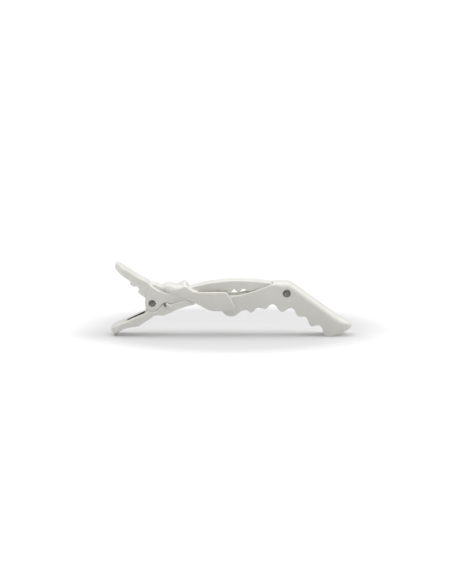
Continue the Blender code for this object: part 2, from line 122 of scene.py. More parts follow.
EAR_RADIUS = 3.5
THUMB_SLOPE_START = (-54.6, 34.86)
THUMB_SLOPE_END = (-39.8, 25.35)  # with the start, the line of the thumb's top and of the pocket below it
THUMB_PLATE = 3.6
ARM_BOSS_RADIUS = 2.85
LOWER_EAR_RADIUS = 3.1
ROOF_START = (28.1, 25.8)
ROOF_SLOPE = -0.718
ROOF_THICKNESS = 2.0
ROOF_REAR_X = 19.6
ROOF_REAR_Z = 24.75
ROOF_SIDE_ROUND = 3.2
CHANNEL_FRONT_X = 48.0
NOSE_X = 58.0
NOSE_PLAN_ROUND = 5.0
UPPER_TIP_X = -55.9
LOWER_TIP_X = -57.9
THUMB_TIP_PLAN_ROUND = 5.0
FINGER_TIP_PLAN_ROUND = 5.5

WIRE_RADIUS = 0.41
COIL_RADIUS = 2.65
COIL_TURNS = 6
COIL_PITCH = 0.95
LEG_LENGTH = 14.6
LOWER_LEG_ANGLE = 25.5
UPPER_LEG_ANGLE = 31.5

PAINTED_SHADE_PATCH = (0.113, 0.137)  # half-axes in metres of the greyer patch of floor, a painted shadow around the clip

# Camera
VIEW_CENTRE = (-2.64, 0.0, 20.57)
VIEW_ELEVATION = 7.0
VIEW_DISTANCE = 1800.0
VIEW_HEIGHT = 280.3  # height of the picture at the clip
SENSOR = 36.0


# ---------------------------------------------------------------------------------------------- outlines


def arc(centre, radius, start, end, steps):
    """Points on a circle in the side view, from start to end degrees, counted from +X towards +Z."""
    points = []
    for i in range(steps + 1):
        angle = math.radians(start + (end - start) * i / steps)
        points.append((centre[0] + radius * math.cos(angle), centre[1] + radius * math.sin(angle)))
    return points


def through(points, steps=8):
    """A smooth open curve through the points (Catmull-Rom), with steps chords between each two."""
    padded = [points[0], *points, points[-1]]
    curve = []
    for i in range(1, len(padded) - 2):
        before, here, there, after = (Vector(p) for p in padded[i - 1 : i + 3])
        for k in range(steps):
            t = k / steps
            mixed = 2 * here + (there - before) * t
            mixed += (2 * before - 5 * here + 4 * there - after) * t * t
            mixed += (3 * here - before - 3 * there + after) * t**3
            curve.append(tuple(mixed / 2))
    curve.append(points[-1])
    return curve


def thumb_outline():
    ribs = [(-40.8, 17.4), (-41.5, 18.9), (-43.7, 20.4), (-44.7, 21.5), (-44.2, 23.2), (-45.4, 24.3)]
    ribs += [(-46.6, 23.9), (-48.5, 25.0), (-48.5, 26.7), (-52.3, 29.1), (-55.2, 31.9)]
    end = [(-55.9, 32.8), (-55.9, 34.0), (-55.4, 34.7)]
    bulge = [(-44.6, 28.43), (-41.6, 26.95), (-40.2, 26.1), (-38.6, 24.75)]
    return [THUMB_SLOPE_START, *bulge, (-36.5, 22.6), (-36.5, 17.4), *ribs, *end]


def ear_outline():
    rim = through([(-39.1, 25.1), (-37.9, 24.2), (-35.0, 22.35), (-32.2, 21.3), (-29.0, 20.7)])
    saddle_side = [(-26.0, 21.2), (-23.0, 20.6), (-23.0, 19.6)]
    foot = through([(-24.7, 19.3), (-27.1, 17.9), (-29.2, 16.6), (-31.3, 16.55), (-32.6, 16.35)])
    return [*rim, *saddle_side, *foot, *arc(MAIN_PIVOT, EAR_RADIUS, -40, -180, 24), (-41.1, 18.4)]


def saddle_outline():
    top = [(-31.6, 22.8), (-31.2, 23.2), (-30.4, 23.4), (-26.5, 23.3), (-24.0, 23.9), (-22.6, 24.5)]
    top.append((-21.7, 24.3))
    front = through([(-20.9, 23.8), (-20.0, 23.1), (-18.9, 22.4), (-17.6, 21.95), (-16.1, 21.75)])
    return [*top, *front, (-16.6, 20.4), (-19.5, 19.2), (-25.0, 19.5), (-28.3, 20.7)]


def first_scale_outline():
    crest = through([(-33.6, 23.3), (-33.0, 24.0), (-32.0, 24.8), (-30.8, 25.1), (-29.5, 24.9), (-27.5, 24.4)])
    return [*crest, (-23.5, 24.3), (-22.2, 24.1), (-21.3, 23.4), (-21.3, 19.8), (-30.2, 20.8)]


def second_scale_outline():
    crest = through([(-26.8, 23.2), (-26.2, 24.2), (-24.6, 25.0), (-22.7, 26.0), (-21.6, 25.7), (-20.7, 24.1)])
    return [*crest, (-19.9, 22.4), (-20.5, 20.2), (-26.8, 20.2)]


def tongue_outline():
    """The raised middle between the ears that joins thumb plate and saddle."""
    top = through([(-39.4, 24.9), (-37.7, 25.1), (-36.3, 24.9), (-34.6, 24.2), (-33.0, 23.4), (-31.9, 22.6)])
    top += [(-30.9, 21.7), (-29.6, 20.9), (-26.5, 21.0)]
    return [*top, (-26.5, 19.4), (-29.0, 18.7), (-31.5, 18.5), (-34.0, 19.1), (-36.6, 20.4), (-39.4, 21.8)]


def rim_outline():
    """Fills the corner between the rim of the ear and the raised middle."""
    top = [(-38.9, 24.8), (-37.9, 24.15), (-35.0, 22.3), (-32.2, 21.25), (-29.0, 20.65)]
    return [*top, (-29.0, 18.8), (-31.5, 18.5), (-34.0, 19.1), (-36.6, 20.4), (-38.9, 21.8)]


def skirt_outline():
    """The recessed strip below the ear foot and the cheek, just above the lower lever."""
    under = through([(-16.9, 16.3), (-18.6, 16.55), (-20.7, 17.5), (-24.0, 17.5), (-26.4, 16.7), (-28.4, 15.9)])
    return [*under, (-29.6, 16.3), (-30.6, 17.2), (-31.0, 18.5), (-24.0, 20.0), (-16.9, 19.0)]


def cheek_outline():
    top = through([(-25.0, 20.6), (-22.0, 22.0), (-19.6, 22.5), (-17.6, 21.9), (-14.9, 21.6)])
    top += [(-9.4, 21.6), (-3.6, 21.7), (-2.4, 21.4)]
    front = through([(-1.5, 20.3), (-0.3, 18.6), (0.7, 16.5), (1.6, 14.8), (1.5, 13.6), (0.4, 12.8)])
    front += [(-1.2, 12.45), (-3.7, 12.3)]
    under = through([(-8.6, 12.3), (-11.0, 13.0), (-14.9, 14.9), (-19.5, 17.2), (-23.1, 19.0), (-25.0, 19.4)])
    return [*top, *front, *under]


def arm_outline():
    top = through([(-24.0, 20.2), (-21.0, 22.7), (-17.8, 24.05), (-10.1, 25.7), (-0.5, 26.7), (4.3, 26.8)])
    top += through([(11.5, 26.55), (18.2, 25.7)])
    boss = arc(FRONT_PIVOT, ARM_BOSS_RADIUS, 100, -130, 32)
    toothed = through([(13.4, 21.2), (11.6, 22.2), (8.8, 21.3), (5.8, 22.7), (3.4, 21.2), (1.4, 22.7)])
    toothed += through([(-0.6, 20.8), (-2.1, 22.3), (-4.4, 20.9), (-6.4, 21.9), (-8.6, 20.5), (-10.6, 21.3)])
    toothed.append((-12.8, 20.2))
    step = [(19.2, 25.3), (19.3, 24.55), (21.6, 23.1)]
    return [*top, *step, *boss, (22.0, 19.0), (17.5, 20.4), *toothed, (-17.0, 20.2)]


def lower_outline():
    under = [(-57.9, 3.0), (-57.1, 2.0), (-55.8, 1.6), (-54.4, 2.1), (-52.8, 2.9)]
    under += through([(-51.0, 3.8), (-49.4, 4.3), (-44.8, 5.0), (-42.4, 6.4), (-37.0, 9.9), (-35.4, 10.3)])
    under += through([(-32.4, 10.2), (-29.6, 11.4), (-25.4, 13.3), (-21.6, 14.6), (-17.6, 15.4)])
    top = through([(-18.5, 16.1), (-19.6, 16.6), (-21.2, 17.2), (-24.0, 17.1), (-26.5, 16.3), (-28.5, 15.5)])
    bump = [(-29.6, 15.6), (-31.0, 16.2), (-32.2, 15.95), (-32.9, 15.4)]
    seat = arc(MAIN_PIVOT, EAR_RADIUS + GAP + 0.1, -52, -118, 16)
    handle = [(-40.7, 11.3), (-45.4, 9.3), (-50.6, 7.0), (-53.5, 6.0), (-55.9, 4.9), (-57.3, 4.0)]
    return [*under, *top, *bump, *seat, *handle]


def bar_outline():
    under = through([(-34.0, 12.0), (-26.0, 14.0), (-17.6, 15.7), (-6.0, 15.7), (12.0, 15.7), (19.3, 16.0)])
    under += through([(26.4, 14.5), (29.5, 13.9), (34.0, 10.6), (38.0, 7.4), (43.2, 5.6)])
    nose = [(43.6, 7.2), (42.6, 9.2)]
    front = [(41.4, 10.0), (39.6, 11.9), (37.8, 12.7), (36.0, 14.4), (34.2, 15.2), (32.4, 16.6), (30.6, 16.9)]
    dip = through([(28.9, 17.1), (26.4, 16.9), (22.8, 17.1), (19.6, 18.2), (16.7, 19.0)])
    waves = through([(14.4, 18.8), (12.0, 19.4), (9.2, 19.2), (6.6, 19.5), (3.6, 19.5), (0.6, 19.8), (-3.2, 19.5)])
    root = through([(-8.0, 19.4), (-16.0, 18.7), (-24.0, 18.7), (-27.4, 17.6), (-30.0, 15.4)])
    return [*under, *nose, *front, *dip, *waves, *root]


def slot_outline():
    """A narrow blind slot behind the ear's seat."""
    return [(-33.4, 16.9), (-31.9, 13.7), (-30.6, 14.2), (-31.9, 17.2)]


def boss_outline():
    """A low boss on the side of the lower lever, just in front of the slot."""
    top = [(-32.0, 16.0), (-31.0, 16.2), (-29.7, 15.7), (-28.6, 15.1)]
    return [*top, (-29.2, 14.3), (-30.6, 13.9), (-31.2, 14.6)]


def heel_outline():
    return [(-56.9, 2.2), (-56.2, 0.0), (-54.9, 0.0), (-53.2, 3.0), (-55.0, 3.2)]


def hub_outline():
    return [*arc(MAIN_PIVOT, LOWER_EAR_RADIUS, 190, -10, 32), (-34.2, 12.0), (-36.0, 10.8), (-41.4, 10.8)]


def snout_outline():
    rear = [(-4.6, 12.4), (-3.5, 10.9), (-1.7, 9.9), (0.3, 9.6), (2.1, 10.2), (3.6, 11.4), (5.4, 12.5)]
    rear.append((6.7, 12.8))
    rear += [(7.8, 12.5), (8.7, 11.7), (9.8, 11.5), (10.7, 12.2), (11.6, 13.4), (12.7, 13.9), (14.1, 13.7)]
    middle = [(15.6, 13.3), (16.8, 13.5), (17.8, 14.6), (18.7, 15.3), (19.8, 15.5), (20.9, 15.0), (22.2, 13.4)]
    middle += [(23.1, 12.3), (24.1, 11.9), (25.4, 12.2), (26.9, 13.2), (28.3, 13.7), (29.5, 13.3), (30.3, 12.4)]
    front = [(30.9, 11.1), (31.7, 9.8), (32.7, 9.5), (34.9, 9.6), (35.8, 9.1), (36.5, 8.0), (37.3, 5.8)]
    front += [(38.2, 5.0), (39.3, 4.9), (40.5, 5.3), (41.6, 5.4), (42.7, 4.9), (43.4, 3.9), (43.9, 1.8)]
    under = through([*rear, *middle, *front], 3) + [(44.3, 0.5), (45.0, 0.0), (47.6, 0.0)]
    nose = through([(49.8, 0.6), (52.9, 1.8), (55.5, 3.0), (57.6, 4.3)]) + [(58.0, 4.9), (57.8, 5.4)]
    roof_end = roof_z(50.5)
    roof = [(50.5, roof_end), (30.6, 24.0), (28.6, 25.3), (27.4, 25.8), (21.8, 25.8)]
    top = through([(19.7, 25.35), (14.9, 23.3), (9.1, 21.3), (4.3, 20.05), (-0.2, 19.35), (-3.2, 17.0)])
    return [*under, *nose, *roof, *top]


def roof_z(x):
    """Height of the snout's sloping roof at x."""
    return ROOF_START[1] + ROOF_SLOPE * (x - ROOF_START[0])


# ---------------------------------------------------------------------------------------------- distance fields


class Grid:
    """Sample points of a box, for y >= 0 only, because every moulding is symmetric about y = 0."""

    def __init__(self, x_low, x_high, y_high, z_low, z_high):
        self.x = np.arange(x_low, x_high + STEP, STEP, dtype=np.float32)
        self.y = np.arange(0, y_high + STEP, STEP, dtype=np.float32)
        self.z = np.arange(z_low, z_high + STEP, STEP, dtype=np.float32)

    def side(self):
        return np.meshgrid(self.x, self.z, indexing="ij")


def outline_distance(grid, points):
    """Distance of each side-view sample to a closed outline, negative inside."""
    x, z = grid.side()
    nearest = np.full(x.shape, 1e6, np.float32)
    inside = np.zeros(x.shape, bool)
    for (ax, az), (bx, bz) in zip(points, [*points[1:], points[0]]):
        dx, dz = bx - ax, bz - az
        length2 = dx * dx + dz * dz
        if length2 < 1e-12:
            continue
        t = np.clip(((x - ax) * dx + (z - az) * dz) / length2, 0, 1)
        nearest = np.minimum(nearest, (x - ax - t * dx) ** 2 + (z - az - t * dz) ** 2)
        if abs(dz) > 1e-9:
            crosses = ((az > z) != (bz > z)) & (x < ax + (z - az) * dx / dz)
            inside ^= crosses
    return np.where(inside, -1, 1) * np.sqrt(nearest)


def pushed(grid, side, y_low, y_high, edge=EDGE):
    """A side-view distance pushed out along y, with rounded outer edges. edge is a number or one per sample."""
    edge = np.asarray(edge, np.float32)
    round_off = edge[:, None, :] if edge.ndim == 2 else edge
    across = (side if side.ndim == 3 else side[:, None, :]) + round_off
    if y_low <= 0:
        depth = grid.y[None, :, None] - y_high + round_off
    else:
        depth = np.abs(grid.y - (y_low + y_high) / 2)[None, :, None] - (y_high - y_low) / 2 + round_off
    outside = np.hypot(np.maximum(across, 0), np.maximum(depth, 0))
    return np.minimum(np.maximum(across, depth), 0) + outside - round_off


def prism(grid, points, y_low, y_high, edge=EDGE):
    return pushed(grid, outline_distance(grid, points), y_low, y_high, edge)


def slid(field, steps, axis):
    """A side-view field moved along an axis by a number of grid steps."""
    index = np.clip(np.arange(field.shape[axis]) - steps, 0, field.shape[axis] - 1.001)
    low = index.astype(int)
    part = (index - low).astype(np.float32)
    part = part[:, None] if axis == 0 else part[None, :]
    return np.take(field, low, axis) * (1 - part) + np.take(field, low + 1, axis) * part


def crowned(grid, points, half, edge, lean, drop):
    """An outline pushed to y = half that leans forward by lean and drops by drop on the way to the sides."""
    side = outline_distance(grid, points)
    layers = []
    for y in grid.y:
        share = min(y / half, 1.0) ** 2
        layers.append(slid(slid(side, lean * share / STEP, 0), -drop * share / STEP, 1))
    return pushed(grid, np.stack(layers, axis=1), 0, half, edge)


def rod(grid, centre, radius, y_low=0.0, y_high=30.0, edge=0.0):
    x, z = grid.side()
    return pushed(grid, np.hypot(x - centre[0], z - centre[1]) - radius, y_low, y_high, edge)


def plan(grid, x_low, x_high, half, low_round, high_round):
    """Distance to an upright solid whose plan view is a rectangle with rounded corners at each end."""
    x, y = np.meshgrid(grid.x, grid.y, indexing="ij")
    middle = (x_low + x_high) / 2
    corner = np.where(x > middle, high_round, low_round)
    past_x = np.abs(x - middle) - (x_high - x_low) / 2 + corner
    past_y = np.abs(y) - half + corner
    outside = np.hypot(np.maximum(past_x, 0), np.maximum(past_y, 0))
    return (np.minimum(np.maximum(past_x, past_y), 0) + outside - corner)[:, :, None]


def join(a, b, blend=FILLET):
    """Union of two fields with a fillet where they meet."""
    share = np.clip(0.5 + 0.5 * (b - a) / blend, 0, 1)
    return b + (a - b) * share - blend * share * (1 - share)


def keep(a, b, blend=EDGE):
    """What lies inside both fields, with the new edge rounded."""
    return -join(-a, -b, blend)


def cut(a, b, blend=FINE_EDGE):
    """The first field without the second, with the new edge rounded."""
    return -join(-a, b, blend)


def mesh_of(grid, field, name):
    """The zero surface of a field as a mesh object in metres, with the field's own gradient as its normals."""
    whole = np.concatenate([field[:, :0:-1, :], field], axis=1)
    whole = np.clip(whole, -BAND, BAND).astype(np.float32)
    volume = openvdb.FloatGrid(BAND)
    volume.copyFromArray(whole, tolerance=0.0)
    volume.gridClass = openvdb.GridClass.LEVEL_SET
    points, triangles, quads = volume.convertToPolygons(isovalue=0.0, adaptivity=ADAPTIVITY)
    faces = [tuple(int(i) for i in face[::-1]) for face in (*quads, *triangles)]
    start = np.array([grid.x[0], -grid.y[-1], grid.z[0]])
    mesh = bpy.data.meshes.new(name)
    mesh.from_pydata((start + points * STEP) * MM, [], faces)
    mesh.update()
    mesh.shade_smooth()
    mesh.normals_split_custom_set_from_vertices(gradient_at(whole, points))
    made = bpy.data.objects.new(name, mesh)
    bpy.context.scene.collection.objects.link(made)
    return made


def gradient_at(whole, points):
    """Unit gradient of a field at points given in grid steps."""
    top = np.array(whole.shape) - 1

    def sample(where):
        where = np.clip(where, 0, top - 1e-3)
        low = where.astype(int)
        part = where - low
        total = 0
        for corner in range(8):
            step = np.array([corner & 1, corner >> 1 & 1, corner >> 2])
            weight = np.prod(np.where(step, part, 1 - part), axis=1)
            total = total + weight * whole[tuple((low + step).T)]
        return total

    reach = 0.75
    slopes = [sample(points + reach * axis) - sample(points - reach * axis) for axis in np.eye(3)]
    slope = np.stack(slopes, axis=1)
    return slope / np.maximum(np.linalg.norm(slope, axis=1, keepdims=True), 1e-9)


# ---------------------------------------------------------------------------------------------- mouldings


def pin_room(grid, pivot, head_radius, half):
    """The hole for a pin with the counterbore for its head."""
    floor = half - HEAD_SINK - HEAD_THICKNESS - GAP / 2
    hole = rod(grid, pivot, PIN_RADIUS + GAP)
    return np.minimum(hole, rod(grid, pivot, head_radius + GAP, floor, half + 6))


def falling(value, start, width):
    """1 well below start, 0 above it, straight in between over width."""
    return np.clip((start - value) / width, 0, 1)


def handle_and_ears(grid):
    x, z = grid.side()
    tip = EDGE + (TIP_EDGE - EDGE) * falling(x, -49.0, 4.0)
    thumb = prism(grid, thumb_outline(), 0, HANDLE_HALF, tip)
    thumb = keep(thumb, plan(grid, UPPER_TIP_X, 0, HANDLE_HALF + 0.2, THUMB_TIP_PLAN_ROUND, 0), EDGE)
    ear_edge = SOFT_EDGE - (SOFT_EDGE - FINE_EDGE) * falling(z, 16.0, 1.5) * np.clip(x + 41.0, 0, 1)
    ear = prism(grid, ear_outline(), EAR_INNER, EAR_HALF, ear_edge)
    ear = join(ear, prism(grid, rim_outline(), 0, EAR_INNER + 1.4, 0.1), 0.05)
    return join(thumb, join(ear, prism(grid, tongue_outline(), 0, TONGUE_HALF, 0.6), 0.3), SEAM)


def saddle_and_scales(grid):
    x, z = grid.side()
    plate_edge = 0.6 + (PLATE_EDGE - 0.6) * falling(x, -22.0, 3.0) * np.clip((z - 20.5) / 2.0, 0, 1)
    cheek = prism(grid, cheek_outline(), CHEEK_INNER, CHEEK_HALF, 0.75)
    saddle = np.minimum(prism(grid, saddle_outline(), 0, CHEEK_HALF, plate_edge), cheek)
    first = crowned(grid, first_scale_outline(), SCALE_HALF, PLATE_EDGE, 0.5, 0.3)
    second = crowned(grid, second_scale_outline(), SCALE_HALF, SCALE_EDGE, 0.0, 0.5)
    return join(saddle, join(first, second, FILLET), FILLET)


def leg_pocket(grid):
    """Room for the spring's upper leg, open below the thumb plate."""
    drop = (THUMB_SLOPE_END[1] - THUMB_SLOPE_START[1]) / (THUMB_SLOPE_END[0] - THUMB_SLOPE_START[0])
    top = THUMB_SLOPE_START[1] - THUMB_PLATE * math.hypot(1, drop)
    ends = [(x, top + drop * (x - THUMB_SLOPE_START[0])) for x in (-50.0, -37.0)]
    return prism(grid, [*ends, (-37.0, 14.0), (-50.0, 14.0)], 0, LEG_ROOM_HALF)


def make_upper_lever():
    grid = Grid(-57.0, 31.0, 10.0, 11.5, 35.5)
    x, z = grid.side()
    lever = join(handle_and_ears(grid), prism(grid, skirt_outline(), EAR_INNER, SKIRT_HALF, 0.5), SEAM)
    lever = join(lever, saddle_and_scales(grid), SEAM)
    arm_edge = EDGE + (ARM_TOP_EDGE - EDGE) * np.clip(z - 25.3 + 0.0065 * (x - 4.0) ** 2, 0, 1)
    lever = join(lever, prism(grid, arm_outline(), 0, ARM_HALF, arm_edge), FILLET)
    lever = cut(lever, rod(grid, MAIN_PIVOT, LOWER_EAR_RADIUS + 0.9, 0, EAR_INNER))
    lever = cut(lever, leg_pocket(grid))
    lever = cut(lever, pin_room(grid, MAIN_PIVOT, MAIN_HEAD_RADIUS, EAR_HALF))
    lever = cut(lever, rod(grid, FRONT_PIVOT, PIN_RADIUS + GAP))
    return mesh_of(grid, lever, "upper_lever_moulding")


def leg_line(angle, side):
    """The straight line of a spring leg, tangent to the coil, as a function of the distance from the coil."""
    turn = math.radians(angle)
    along = Vector((-math.cos(turn), side * math.sin(turn)))
    out = Vector((math.sin(turn), side * math.cos(turn)))
    start = Vector(MAIN_PIVOT) + COIL_RADIUS * out

    def at(distance):
        return tuple(start + along * distance)

    return at


def make_lower_lever():
    grid = Grid(-59.0, 44.8, 9.4, -1.0, 21.8)
    x, z = grid.side()
    tip = EDGE + (TIP_EDGE - EDGE) * np.clip((-52.0 - x) / 3.0, 0, 1)
    gap_edge = 0.6 * np.clip((z - 13.2) / 1.0, 0, 1) * np.clip((x + 34.0) / 0.6, 0, 1)
    seat_edge = 0.25 * np.clip(np.hypot(x - MAIN_PIVOT[0], z - MAIN_PIVOT[1]) - EAR_RADIUS - 1.0, 0, 1)
    lever = prism(grid, lower_outline(), 0, LOWER_HALF, np.maximum(tip - 0.25 + seat_edge, gap_edge))
    lever = keep(lever, plan(grid, LOWER_TIP_X, 20, LOWER_HALF + 0.2, FINGER_TIP_PLAN_ROUND, 0), EDGE)
    lever = join(lever, prism(grid, heel_outline(), 0, HEEL_HALF), FILLET)
    lever = join(lever, prism(grid, boss_outline(), 0, BOSS_HALF, 0.7), SEAM)
    lever = join(lever, prism(grid, bar_outline(), 0, BAR_HALF), FILLET)
    lever = join(lever, prism(grid, hub_outline(), SPRING_ROOM_HALF, LOWER_EAR_HALF, FINE_EDGE), FILLET)
    lever = cut(lever, rod(grid, MAIN_PIVOT, COIL_RADIUS + WIRE_RADIUS + GAP, 0, SPRING_ROOM_HALF))
    lever = cut(lever, prism(grid, slot_outline(), SLOT_INNER, 12.0), 0.1)
    line = leg_line(LOWER_LEG_ANGLE, -1)
    drop = WIRE_RADIUS + GAP
    floor = [(x, z - drop) for x, z in (line(-2.0), line(LEG_LENGTH + 0.9))]
    groove = prism(grid, [*floor, (floor[1][0], 14.0), (floor[0][0], 14.0)], *leg_groove())
    lever = cut(lever, groove)
    lever = cut(lever, rod(grid, MAIN_PIVOT, PIN_RADIUS + GAP))
    return mesh_of(grid, lever, "lower_lever_moulding")


def leg_groove():
    """Inner and outer side of the groove that the spring's lower leg lies in."""
    middle = spring_path()[1]
    return middle - WIRE_RADIUS - GAP, middle + WIRE_RADIUS + GAP


def make_snout():
    grid = Grid(-6.0, 59.0, 8.6, -1.0, 27.0)
    x, z = grid.side()
    below_roof = np.minimum(roof_z(x), ROOF_START[1]) - z
    on_roof = np.clip((4.6 - below_roof) / 1.6, 0, 1) * np.clip((x - 18.0) / 6.0, 0, 1)
    edge = EDGE + (ROOF_SIDE_ROUND - EDGE) * on_roof * np.clip((NOSE_X - x) / 5.0, 0, 1)
    edge = np.maximum(edge, SOFT_EDGE * np.clip((z - 14.0) / 3.0, 0, 1))
    snout = pushed(grid, outline_distance(grid, snout_outline()), 0, SNOUT_HALF, edge)
    snout = keep(snout, plan(grid, -10, NOSE_X, SNOUT_HALF + 0.2, 0, NOSE_PLAN_ROUND), 0.6)
    inner_drop = ROOF_THICKNESS * math.hypot(1, ROOF_SLOPE)
    level = ROOF_START[1] - ROOF_THICKNESS - 0.2
    slope_x = ROOF_START[0] + (ROOF_START[1] - inner_drop - level) / -ROOF_SLOPE
    ceiling = [(CHANNEL_FRONT_X, roof_z(CHANNEL_FRONT_X) - inner_drop), (slope_x, level), (22.2, level)]
    rear = [(ROOF_REAR_X, ROOF_REAR_Z), (ROOF_REAR_X, 40.0)]
    channel = [(-9.0, -3.0), (CHANNEL_FRONT_X, -3.0), *ceiling, *rear, (-9.0, 40.0)]
    snout = cut(snout, prism(grid, channel, 0, SNOUT_INNER))
    snout = cut(snout, pin_room(grid, FRONT_PIVOT, FRONT_HEAD_RADIUS, SNOUT_HALF))
    return mesh_of(grid, snout, "snout_moulding")


# ---------------------------------------------------------------------------------------------- metal parts


def make_pin(name, pivot, head_radius, half):
    """A rivet: a shaft with a softly domed, chamfered head at each end."""
    outer = half - HEAD_SINK
    neck = outer - HEAD_THICKNESS
    head = [(outer, 0.0)]
    head += [(outer - 0.10 * (r / head_radius) ** 2, r) for r in np.linspace(0.3, head_radius - 0.2, 5)]
    head += [(outer - 0.22, head_radius - 0.06), (outer - 0.32, head_radius), (neck, head_radius)]
    head += [(neck, PIN_RADIUS)]
    profile = [(-y, r) for y, r in head] + head[::-1]
    shape = bmesh.new()
    points = [shape.verts.new((r * MM, y * MM, 0)) for y, r in profile]
    edges = [shape.edges.new(pair) for pair in zip(points, points[1:])]
    outline = [*points, *edges]
    bmesh.ops.spin(
        shape, geom=outline, cent=(0, 0, 0), axis=(0, 1, 0), angle=math.tau, steps=64, use_merge=True
    )
    bmesh.ops.remove_doubles(shape, verts=shape.verts[:], dist=1e-7)
    bmesh.ops.recalc_face_normals(shape, faces=shape.faces[:])
    mesh = bpy.data.meshes.new(name)
    shape.to_mesh(mesh)
    shape.free()
    mesh.shade_smooth()
    mesh.set_sharp_from_angle(angle=math.radians(40))
    made = bpy.data.objects.new(name, mesh)
    made.location = (pivot[0] * MM, 0, pivot[1] * MM)
    bpy.context.scene.collection.objects.link(made)
    return made


def spring_path():
    """Points along the wire, from the end of the lower leg through the coil to the end of the upper leg."""
    lower, upper = leg_line(LOWER_LEG_ANGLE, -1), leg_line(UPPER_LEG_ANGLE, 1)
    first = Vector(lower(0)) - Vector(MAIN_PIVOT)
    last = Vector(upper(0)) - Vector(MAIN_PIVOT)
    start = math.degrees(math.atan2(first.y, first.x))
    total = math.degrees(math.atan2(last.y, last.x)) - start + 360 * (COIL_TURNS - 1)
    half = total / 360 * COIL_PITCH / 2
    points = [Vector((lower(d)[0], -half, lower(d)[1])) for d in np.linspace(LEG_LENGTH, 0.6, 12)]
    steps = int(total / 7.5)
    for i in range(steps + 1):
        angle = math.radians(start + total * i / steps)
        x = MAIN_PIVOT[0] + COIL_RADIUS * math.cos(angle)
        z = MAIN_PIVOT[1] + COIL_RADIUS * math.sin(angle)
        points.append(Vector((x, -half + 2 * half * i / steps, z)))
    points += [Vector((upper(d)[0], half, upper(d)[1])) for d in np.linspace(0.6, LEG_LENGTH, 12)]
    return points, half


def make_spring():
    """Round wire swept along the spring's path, with chamfered ends."""
    points, half = spring_path()
    sides = 16
    shape = bmesh.new()
    rings = []
    across = Vector((0, 1, 0))
    for i, point in enumerate(points):
        ahead = points[min(i + 1, len(points) - 1)] - points[max(i - 1, 0)]
        ahead.normalize()
        across = (across - across.dot(ahead) * ahead).normalized()
        up = ahead.cross(across)
        at_end = i in (0, len(points) - 1)
        radius = WIRE_RADIUS * (0.75 if at_end else 1.0)
        ring = []
        for k in range(sides):
            turn = math.tau * k / sides
            out = math.cos(turn) * across + math.sin(turn) * up
            ring.append(shape.verts.new((point + radius * out) * MM))
        rings.append(ring)
    for ring, after in zip(rings, rings[1:]):
        for k in range(sides):
            shape.faces.new((ring[k], ring[(k + 1) % sides], after[(k + 1) % sides], after[k]))
    shape.faces.new(rings[0][::-1])
    shape.faces.new(rings[-1])
    bmesh.ops.recalc_face_normals(shape, faces=shape.faces[:])
    mesh = bpy.data.meshes.new("spring_wire")
    shape.to_mesh(mesh)
    shape.free()
    mesh.shade_smooth()
    made = bpy.data.objects.new("spring_wire", mesh)
    bpy.context.scene.collection.objects.link(made)
    return made, half


# ---------------------------------------------------------------------------------------------- materials


def new_material(name):
    made = bpy.data.materials.new(name)
    made.use_nodes = True
    return made, made.node_tree, made.node_tree.nodes["Principled BSDF"]


def add(tree, kind, **inputs):
    node = tree.nodes.new(kind)
    for name, value in inputs.items():
        node.inputs[name.replace("_", " ")].default_value = value
    return node


def coordinates(tree, scale):
    """Object coordinates, scaled."""
    place = tree.nodes.new("ShaderNodeTexCoord")
    mapping = tree.nodes.new("ShaderNodeMapping")
    mapping.inputs["Scale"].default_value = scale
    tree.links.new(place.outputs["Object"], mapping.inputs["Vector"])
    return mapping.outputs["Vector"]


def noise(tree, vector, scale, detail, roughness=0.5):
    node = add(tree, "ShaderNodeTexNoise", Scale=scale, Detail=detail, Roughness=roughness)
    tree.links.new(vector, node.inputs["Vector"])
    return node.outputs["Fac"]


def ramp(tree, value, low, high, low_colour, high_colour):
    node = tree.nodes.new("ShaderNodeValToRGB")
    first, last = node.color_ramp.elements
    first.position, last.position = low, high
    first.color = (*low_colour, 1)
    last.color = (*high_colour, 1)
    tree.links.new(value, node.inputs["Fac"])
    return node.outputs["Color"]


def spread(tree, value, low, high):
    """Maps a 0 to 1 value to the range low to high."""
    node = tree.nodes.new("ShaderNodeMapRange")
    node.inputs["To Min"].default_value = low
    node.inputs["To Max"].default_value = high
    tree.links.new(value, node.inputs["Value"])
    return node.outputs["Result"]


def bump(tree, shader, height, strength, distance):
    node = add(tree, "ShaderNodeBump", Strength=strength, Distance=distance)
    tree.links.new(height, node.inputs["Height"])
    tree.links.new(node.outputs["Normal"], shader.inputs["Normal"])


def white_plastic():
    """Satin moulded plastic: warm white, faintly uneven, with a fine spark-eroded grain."""
    made, tree, shader = new_material("white_plastic")
    vector = coordinates(tree, (1, 1, 1))
    cloud = noise(tree, vector, 90, 3)
    colour = ramp(tree, cloud, 0.3, 0.7, (0.735, 0.725, 0.68), (0.78, 0.772, 0.73))
    tree.links.new(colour, shader.inputs["Base Color"])
    grain = noise(tree, vector, 5200, 2, 0.6)
    tree.links.new(spread(tree, noise(tree, vector, 700, 4), 0.34, 0.50), shader.inputs["Roughness"])
    bump(tree, shader, grain, 0.10, 0.00004)
    shader.inputs["IOR"].default_value = 1.5
    shader.inputs["Subsurface Weight"].default_value = 0.2
    shader.inputs["Subsurface Radius"].default_value = (1.0, 0.9, 0.7)
    shader.inputs["Subsurface Scale"].default_value = 0.0012
    return made


